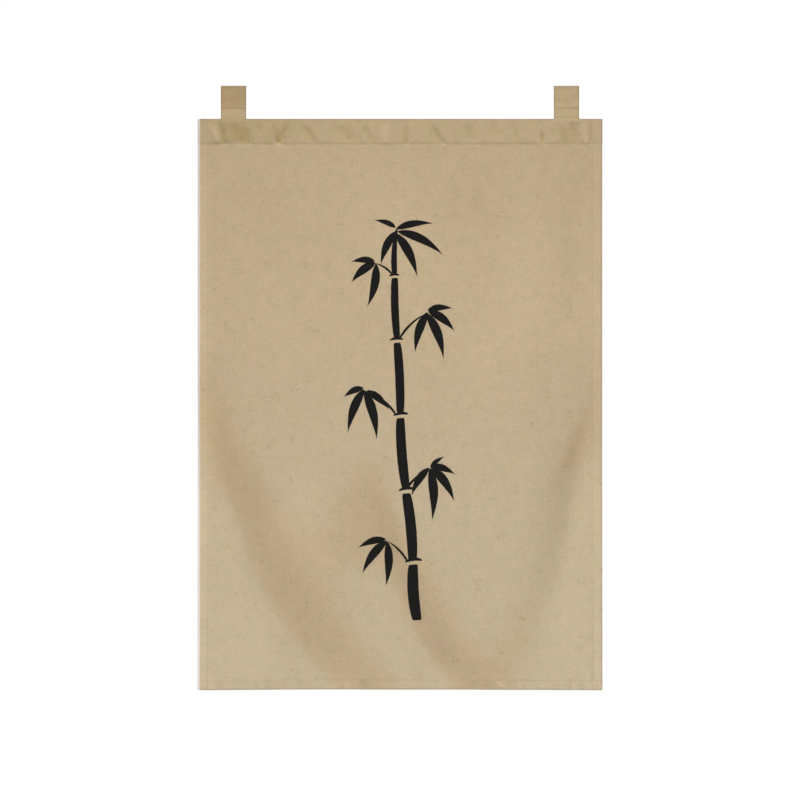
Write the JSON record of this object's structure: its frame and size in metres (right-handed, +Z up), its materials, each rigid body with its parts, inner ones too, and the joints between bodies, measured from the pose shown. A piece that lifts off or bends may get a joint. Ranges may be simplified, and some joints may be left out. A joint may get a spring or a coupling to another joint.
{
  "type": "noren curtain",
  "caption": "Short doorway curtain of plain cotton and linen cloth with a stitched heading, turned hems and sewn loops for a rod, hanging in soft slanting folds.",
  "frame": {"origin": "middle of the line that a rod touches inside the tops of the loops", "axes": "+X along the rod, to the right as seen from the front; -Y out of the front of the cloth; +Z up"},
  "size_m": [0.8514, 0.0638, 1.2703],
  "materials": {
    "panel_cloth": "matte plain weave with slubs, in the colour of raw linen",
    "loop_cloth": "matte plain weave, pressed and doubled",
    "thread": "matte sewing thread"
  },
  "bodies": {
    "root": {"panel": "panel_cloth", "tab_left": "loop_cloth", "tab_right": "loop_cloth"}
  },
  "joints": []
}
